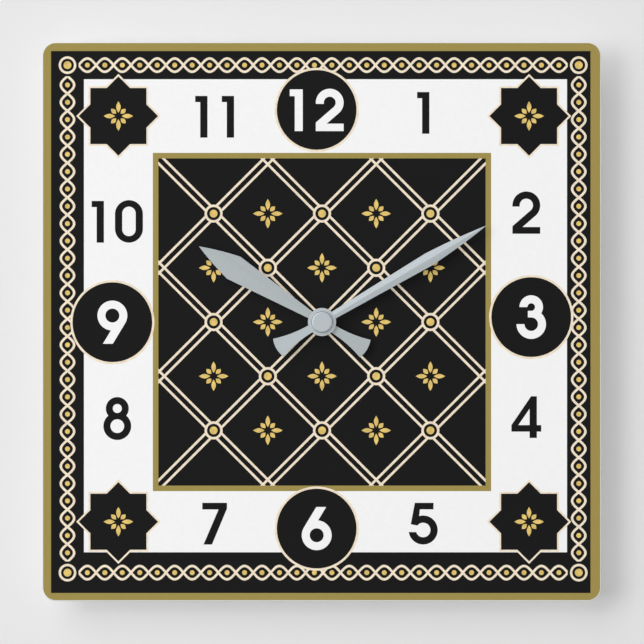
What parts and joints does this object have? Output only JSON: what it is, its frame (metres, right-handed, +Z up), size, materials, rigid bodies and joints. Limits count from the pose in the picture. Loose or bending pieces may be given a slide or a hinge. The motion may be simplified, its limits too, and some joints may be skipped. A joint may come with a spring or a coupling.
{
  "type": "wall clock",
  "caption": "Square acrylic wall clock with rounded corners, leaf-shaped hour and minute hands, and a battery quartz movement with a hanger behind the dial.",
  "frame": {"origin": "on the wall plane, where the hand axis meets the back of the movement", "axes": "+X right as the dial is read, +Y into the wall along the hand axis, +Z up towards 12"},
  "size_m": [0.273, 0.0309, 0.273],
  "materials": {
    "white_acrylic": "cast acrylic sheet, glossy, printed on the front",
    "case_plastic": "black moulding, fine satin texture",
    "gasket_rubber": "soft black rubber",
    "brass": "turned brass",
    "hand_paint": "satin silver-grey paint on aluminium sheet",
    "gear_plastic": "natural white moulding",
    "spring_steel": "plain bright strip steel",
    "magnet": "sintered dark grey",
    "copper_wire": "enamelled copper wire",
    "circuit_laminate": "tan paper laminate",
    "chip_epoxy": "black epoxy drop",
    "cell_wrap": "plain printed sleeve over a metal can"
  },
  "bodies": {
    "clock_body": {"dial_panel": "white_acrylic", "front_case": "case_plastic", "rear_cover": "case_plastic", "hanger": "case_plastic", "threaded_bushing": "brass", "dial_gasket": "gasket_rubber", "dial_washer": "brass", "hex_nut": "brass", "train_plate": "gear_plastic", "stator": "spring_steel", "coil_core": "spring_steel", "coil_bobbin": "gear_plastic", "coil_winding": "copper_wire", "circuit_board": "circuit_laminate", "quartz_crystal": "spring_steel", "driver_chip": "chip_epoxy", "positive_contact": "spring_steel", "negative_contact": "spring_steel"},
    "minute_group": {"minute_hand": "hand_paint", "hand_cap": "hand_paint", "minute_arbor": "brass", "clutch_spring": "spring_steel"},
    "hour_group": {"hour_hand": "hand_paint", "hour_wheel": "gear_plastic"},
    "minute_wheel": {"minute_wheel": "gear_plastic"},
    "setting_group": {"setting_stem": "gear_plastic", "setting_knob": "case_plastic"},
    "seconds_wheel": {"seconds_wheel": "gear_plastic"},
    "third_wheel": {"third_wheel": "gear_plastic"},
    "centre_wheel": {"centre_wheel": "gear_plastic"},
    "intermediate_wheel": {"intermediate_wheel": "gear_plastic"},
    "rotor": {"rotor_pinion": "gear_plastic", "rotor_magnet": "magnet"},
    "battery": {"battery": "cell_wrap"}
  },
  "joints": [
    {"name": "minute_hand_turn", "type": "hinge", "parent": "clock_body", "child": "minute_group", "pos_m": [0, 0, 0], "axis": [0, 1, 0], "continuous": true},
    {"name": "hour_hand_turn", "type": "hinge", "parent": "clock_body", "child": "hour_group", "pos_m": [0, 0, 0], "axis": [0, 1, 0], "continuous": true},
    {"name": "minute_wheel_turn", "type": "hinge", "parent": "clock_body", "child": "minute_wheel", "pos_m": [0.00966, 0, 0.00259], "axis": [0, 1, 0], "continuous": true},
    {"name": "setting_knob_turn", "type": "hinge", "parent": "clock_body", "child": "setting_group", "pos_m": [0.01809, 0, 0.00966], "axis": [0, 1, 0], "continuous": true},
    {"name": "seconds_wheel_turn", "type": "hinge", "parent": "clock_body", "child": "seconds_wheel", "pos_m": [0, 0, 0], "axis": [0, 1, 0], "continuous": true},
    {"name": "third_wheel_turn", "type": "hinge", "parent": "clock_body", "child": "third_wheel", "pos_m": [-0.0102, 0, 0], "axis": [0, 1, 0], "continuous": true},
    {"name": "centre_wheel_turn", "type": "hinge", "parent": "clock_body", "child": "centre_wheel", "pos_m": [0, 0, 0], "axis": [0, 1, 0], "continuous": true},
    {"name": "intermediate_wheel_turn", "type": "hinge", "parent": "clock_body", "child": "intermediate_wheel", "pos_m": [-0.00359, 0, 0.00987], "axis": [0, 1, 0], "continuous": true},
    {"name": "rotor_turn", "type": "hinge", "parent": "clock_body", "child": "rotor", "pos_m": [-0.00868, 0, 0.01496], "axis": [0, 1, 0], "continuous": true},
    {"name": "battery_lift_out", "type": "slide", "parent": "clock_body", "child": "battery", "axis": [0, 1, 0], "range_m": [0, 0.022]}
  ],
  "couplings": [
    {"joint": "hour_hand_turn", "follows": "minute_hand_turn", "ratio": 0.083333},
    {"joint": "minute_wheel_turn", "follows": "minute_hand_turn", "ratio": -0.33333},
    {"joint": "setting_knob_turn", "follows": "minute_hand_turn", "ratio": 0.71429},
    {"joint": "third_wheel_turn", "follows": "seconds_wheel_turn", "ratio": -0.13333},
    {"joint": "centre_wheel_turn", "follows": "seconds_wheel_turn", "ratio": 0.016667},
    {"joint": "intermediate_wheel_turn", "follows": "seconds_wheel_turn", "ratio": -6},
    {"joint": "rotor_turn", "follows": "seconds_wheel_turn", "ratio": 30}
  ]
}
